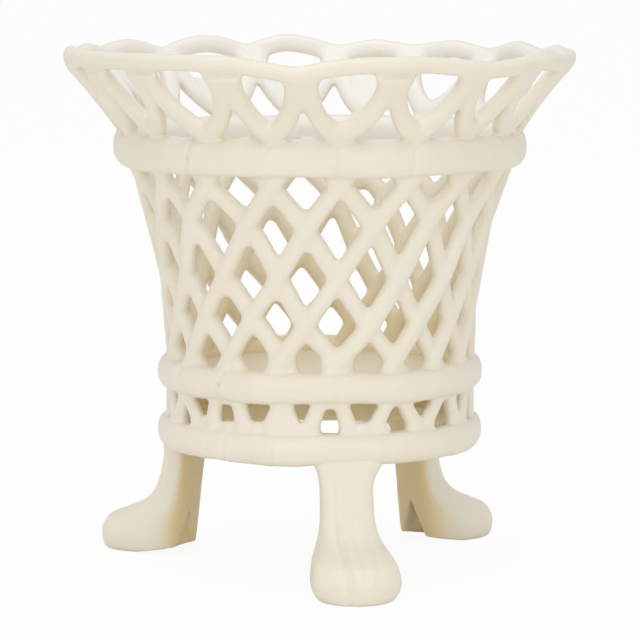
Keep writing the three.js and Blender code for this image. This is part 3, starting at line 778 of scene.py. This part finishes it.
def facing_in(tree, place, start, end):
    """Share of painted light on faces inside the pot, used for painted shade low down and a painted
    highlight in the rim: how far a face turns to the axis, as minus the dot product of its normal
    with the way out, growing between a start and an end height."""
    flat = add_node(tree, "ShaderNodeVectorMath", {"operation": "MULTIPLY", 1: (1, 1, 0)}, {0: place})
    out = add_node(tree, "ShaderNodeVectorMath", {"operation": "NORMALIZE"}, {0: flat.outputs[0]})
    normal = add_node(tree, "ShaderNodeNewGeometry").outputs["Normal"]
    along = add_node(tree, "ShaderNodeVectorMath", {"operation": "DOT_PRODUCT"},
                     {0: out.outputs[0], 1: normal})
    inward = add_node(tree, "ShaderNodeMapRange", {"From Min": -0.1, "From Max": -0.7, "To Max": 0.85},
                      {"Value": along.outputs["Value"]})
    height = add_node(tree, "ShaderNodeSeparateXYZ", {}, {0: place}).outputs["Z"]
    rise = add_node(tree, "ShaderNodeMapRange", {"From Min": start * MM, "From Max": end * MM},
                    {"Value": height})
    return add_node(tree, "ShaderNodeMath", {"operation": "MULTIPLY"},
                    {0: inward.outputs["Result"], 1: rise.outputs["Result"]}).outputs[0]


def blend(tree, base, over, share):
    """A colour socket that mixes two colours, each a hex value or a socket, by a share socket."""
    mix = add_node(tree, "ShaderNodeMix", {"data_type": "RGBA"}, {"Factor": share})
    for place, colour in ((6, base), (7, over)):
        if isinstance(colour, str):
            mix.inputs[place].default_value = linear(colour)
        else:
            tree.links.new(colour, mix.inputs[place])
    return mix.outputs[2]


def dress(piece, material, *nodes):
    """The piece takes its material, rides on the body and stands for its nodes."""
    piece.data.materials.clear()
    piece.data.materials.append(material)
    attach(piece, "root")
    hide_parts(*nodes)


def named(stem):
    """All nodes of the frame whose names start with a stem, in order."""
    return sorted(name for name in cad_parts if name.startswith(stem))


glaze = cream_glaze()

wall = fuse("wall_trellis", trellis() + [
    band_core(lower_low, lower_high, lower_radius, True, LOWER_SEED),
    band_core(upper_low, upper_high, upper_radius, False, UPPER_SEED),
], grain=1.25, passes=14)
dress(wall, glaze, *named("outer_strand"), *named("inner_strand"))

crown = fuse("rim_crown", loops() + [
    hoop(),
    band_core(upper_low, upper_high, upper_radius, True, UPPER_SEED),
], grain=1.1, passes=8)
dress(crown, glaze, "rim_hoop", *named("rim_loops"))

zigzag = fuse("skirt_openwork", skirt() + [
    band_core(base_low, base_high, base_radius, True, BASE_SEED),
    band_core(lower_low, lower_high, lower_radius, False, LOWER_SEED),
], grain=1.1, passes=9)
dress(zigzag, glaze, *named("skirt_zigzag"))

for name, band in (
    ("base_ring", (base_low, base_high, base_radius, BASE_SEAMS, BASE_SEED)),
    ("lower_band", (lower_low, lower_high, lower_radius, LOWER_SEAMS, LOWER_SEED)),
    ("upper_band", (upper_low, upper_high, upper_radius, UPPER_SEAMS, UPPER_SEED)),
):
    dress(new_piece("glazed_" + name, *band_surface(*band)), glaze, name)
dress(new_piece("glazed_floor", *floor()), glaze, "floor_plate")
for name, (azimuth, turn, depth) in FEET.items():
    dress(foot(name, azimuth, turn, depth), glaze, name)

# The stage: a pale floor, soft light, and the camera at the photograph's angle. Places and sizes
# here are in metres, and the lamps' powers in watts.
GROUND_SHINE = 0.92
WORLD_LIGHT = 0.74
ground_mesh = bpy.data.meshes.new("ground")
ground_mesh.from_pydata([(-6, -6, 0), (6, -6, 0), (6, 30, 0), (-6, 30, 0)], [], [(0, 1, 2, 3)])
ground = bpy.data.objects.new("ground", ground_mesh)
bpy.context.scene.collection.objects.link(ground)


def pale_ground():
    """Matt white sweep: for the camera most of it shines white, so that it stays pale, and the
    rest keeps the object's shadow."""
    material = bpy.data.materials.new("pale_ground")
    material.use_nodes = True
    tree = material.node_tree
    tree.nodes.clear()
    matt = add_node(tree, "ShaderNodeBsdfDiffuse", {"Color": linear("#F7F6F3")})
    shine = add_node(tree, "ShaderNodeEmission", {"Color": linear("#FFFFFF"), "Strength": 1.0})
    ray = add_node(tree, "ShaderNodeLightPath")
    part = add_node(tree, "ShaderNodeMath", {"operation": "MULTIPLY", 1: GROUND_SHINE},
                    {0: ray.outputs["Is Camera Ray"]})
    both = add_node(tree, "ShaderNodeMixShader", {},
                    {0: part.outputs[0], 1: matt.outputs[0], 2: shine.outputs[0]})
    add_node(tree, "ShaderNodeOutputMaterial", {}, {"Surface": both.outputs[0]})
    return material


ground_mesh.materials.append(pale_ground())

scene = bpy.context.scene
scene.view_settings.view_transform = "Standard"
world = bpy.data.worlds.new("studio")
scene.world = world
world.use_nodes = True
sky = world.node_tree.nodes["Background"]
sky.inputs["Color"].default_value = linear("#FFFFFF")
seen = add_node(world.node_tree, "ShaderNodeLightPath")
strength = add_node(world.node_tree, "ShaderNodeMapRange", {"To Min": WORLD_LIGHT, "To Max": 1.0},
                    {"Value": seen.outputs["Is Camera Ray"]})
world.node_tree.links.new(strength.outputs["Result"], sky.inputs["Strength"])


def direction(place, aim):
    """Euler angles that turn an object's -Z axis from its place to an aim."""
    return (Vector(aim) - Vector(place)).to_track_quat("-Z", "Y").to_euler()


def softbox(name, place, aim, size, power):
    """A square lamp that faces a point."""
    lamp = bpy.data.lights.new(name, "AREA")
    lamp.size = size
    lamp.energy = power
    holder = bpy.data.objects.new(name, lamp)
    holder.location = place
    holder.rotation_euler = direction(place, aim)
    scene.collection.objects.link(holder)


softbox("overhead_softbox", (-0.2, -0.35, 1.9), (0, 0, 0.15), 1.6, 8.2)
softbox("key_softbox", (-0.8, -2.0, 0.8), (0, 0, 0.12), 1.4, 5.8)
softbox("fill_softbox", (1.1, -1.8, 0.45), (0, 0, 0.08), 1.0, 3.8)

# The camera stands 1.9 m in front, a little above the rim, and looks down at the wall
CAMERA_PLACE = (0.0, -1.9036, 0.3659)
CAMERA_AIM = (0.0, 0.0, 0.1332)
camera_data = bpy.data.cameras.new("camera")
camera_data.sensor_width = 36.0
camera_data.lens = 197.7
camera = bpy.data.objects.new("camera", camera_data)
camera.location = CAMERA_PLACE
camera.rotation_euler = direction(CAMERA_PLACE, CAMERA_AIM)
scene.collection.objects.link(camera)
scene.camera = camera
